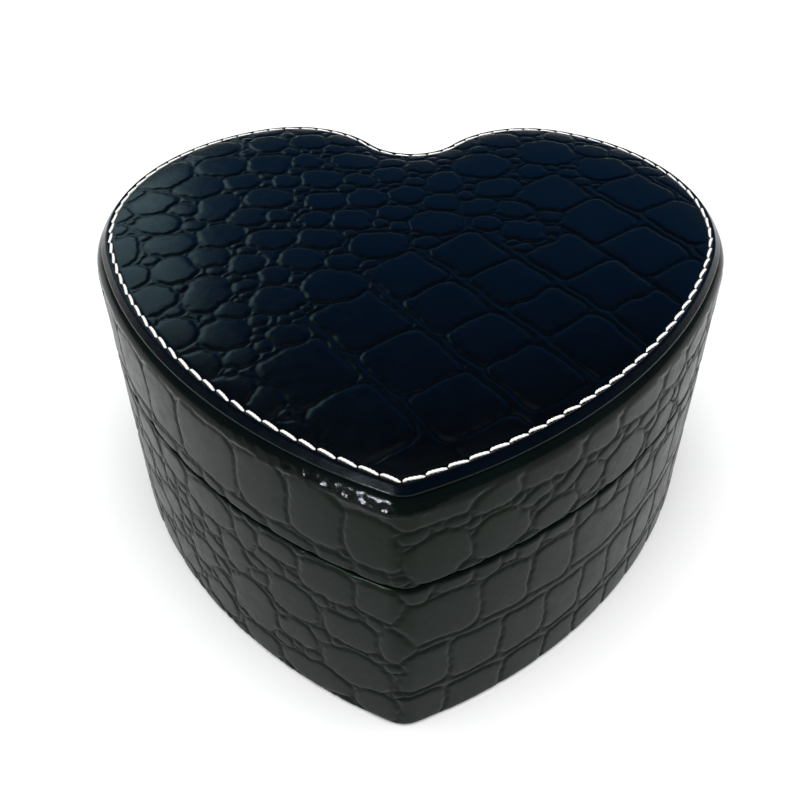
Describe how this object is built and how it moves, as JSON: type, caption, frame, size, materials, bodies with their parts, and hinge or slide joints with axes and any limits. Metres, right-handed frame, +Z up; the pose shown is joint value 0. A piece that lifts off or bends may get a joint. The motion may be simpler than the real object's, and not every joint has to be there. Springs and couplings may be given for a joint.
{
  "type": "heart-shaped jewelry box",
  "caption": "Heart-shaped hinged box in crocodile-embossed leatherette, with a stitched padded lid, a mirror and a lift-out ring tray.",
  "frame": {"origin": "on the table, under the middle of the closed box's bounding box, hinges included", "axes": "+X across the two lobes, -Y toward the pointed front, +Y toward the hinges, +Z up"},
  "size_m": [0.175, 0.1682, 0.0899],
  "materials": {
    "croc_side": "glossy embossed leatherette, greenish black",
    "croc_top": "glossy embossed leatherette, blue-black",
    "thread": "waxed white thread",
    "velvet": "short-pile black velvet",
    "felt": "black felt",
    "ribbon": "black satin ribbon",
    "fibreboard": "pressed fibreboard",
    "card": "grey board",
    "foam": "open-cell foam",
    "mirror": "silvered glass",
    "hinge_metal": "nickel-plated steel",
    "steel": "bright steel"
  },
  "bodies": {
    "base": {"base_bottom_cover": "felt", "base_floor": "fibreboard", "base_wall": "fibreboard", "base_side_wrap": "croc_side", "base_collar": "card", "base_wall_lining": "velvet", "base_floor_pad": "velvet", "base_tray_ledge": "velvet", "base_cross_divider": "velvet", "base_long_divider": "velvet", "base_magnet": "steel", "hinge_base_leaf_left": "hinge_metal", "hinge_base_leaf_right": "hinge_metal", "hinge_pin_left": "steel", "hinge_pin_right": "steel", "hinge_base_screws": "steel"},
    "lid": {"lid_wall": "fibreboard", "lid_top_board": "fibreboard", "lid_side_wrap": "croc_side", "lid_panel_card": "card", "lid_top_foam": "foam", "lid_top_panel": "croc_top", "lid_stitching": "thread", "lid_wall_lining": "velvet", "lid_ceiling_lining": "velvet", "lid_mirror": "mirror", "lid_mirror_bezel": "velvet", "lid_striker_pin": "steel", "hinge_lid_leaf_left": "hinge_metal", "hinge_lid_leaf_right": "hinge_metal", "hinge_lid_screws": "steel"},
    "tray": {"tray_floor": "fibreboard", "tray_wall": "velvet", "tray_lining": "velvet", "tray_floor_pad": "velvet", "tray_cross_divider": "velvet", "tray_divider_left": "velvet", "tray_divider_right": "velvet", "tray_ring_roll_1": "velvet", "tray_ring_roll_2": "velvet", "tray_ring_roll_3": "velvet", "tray_ring_roll_4": "velvet", "tray_ring_roll_5": "velvet", "tray_pull_tab_left": "ribbon", "tray_pull_tab_right": "ribbon"}
  },
  "joints": [
    {"name": "lid_hinge", "type": "hinge", "parent": "base", "child": "lid", "pos_m": [0, 0.08131, 0.057], "axis": [-1, 0, 0], "range_deg": [0, 95]},
    {"name": "tray_lift", "type": "slide", "parent": "base", "child": "tray", "axis": [0, 0, 1], "range_m": [0, 0.021]}
  ]
}
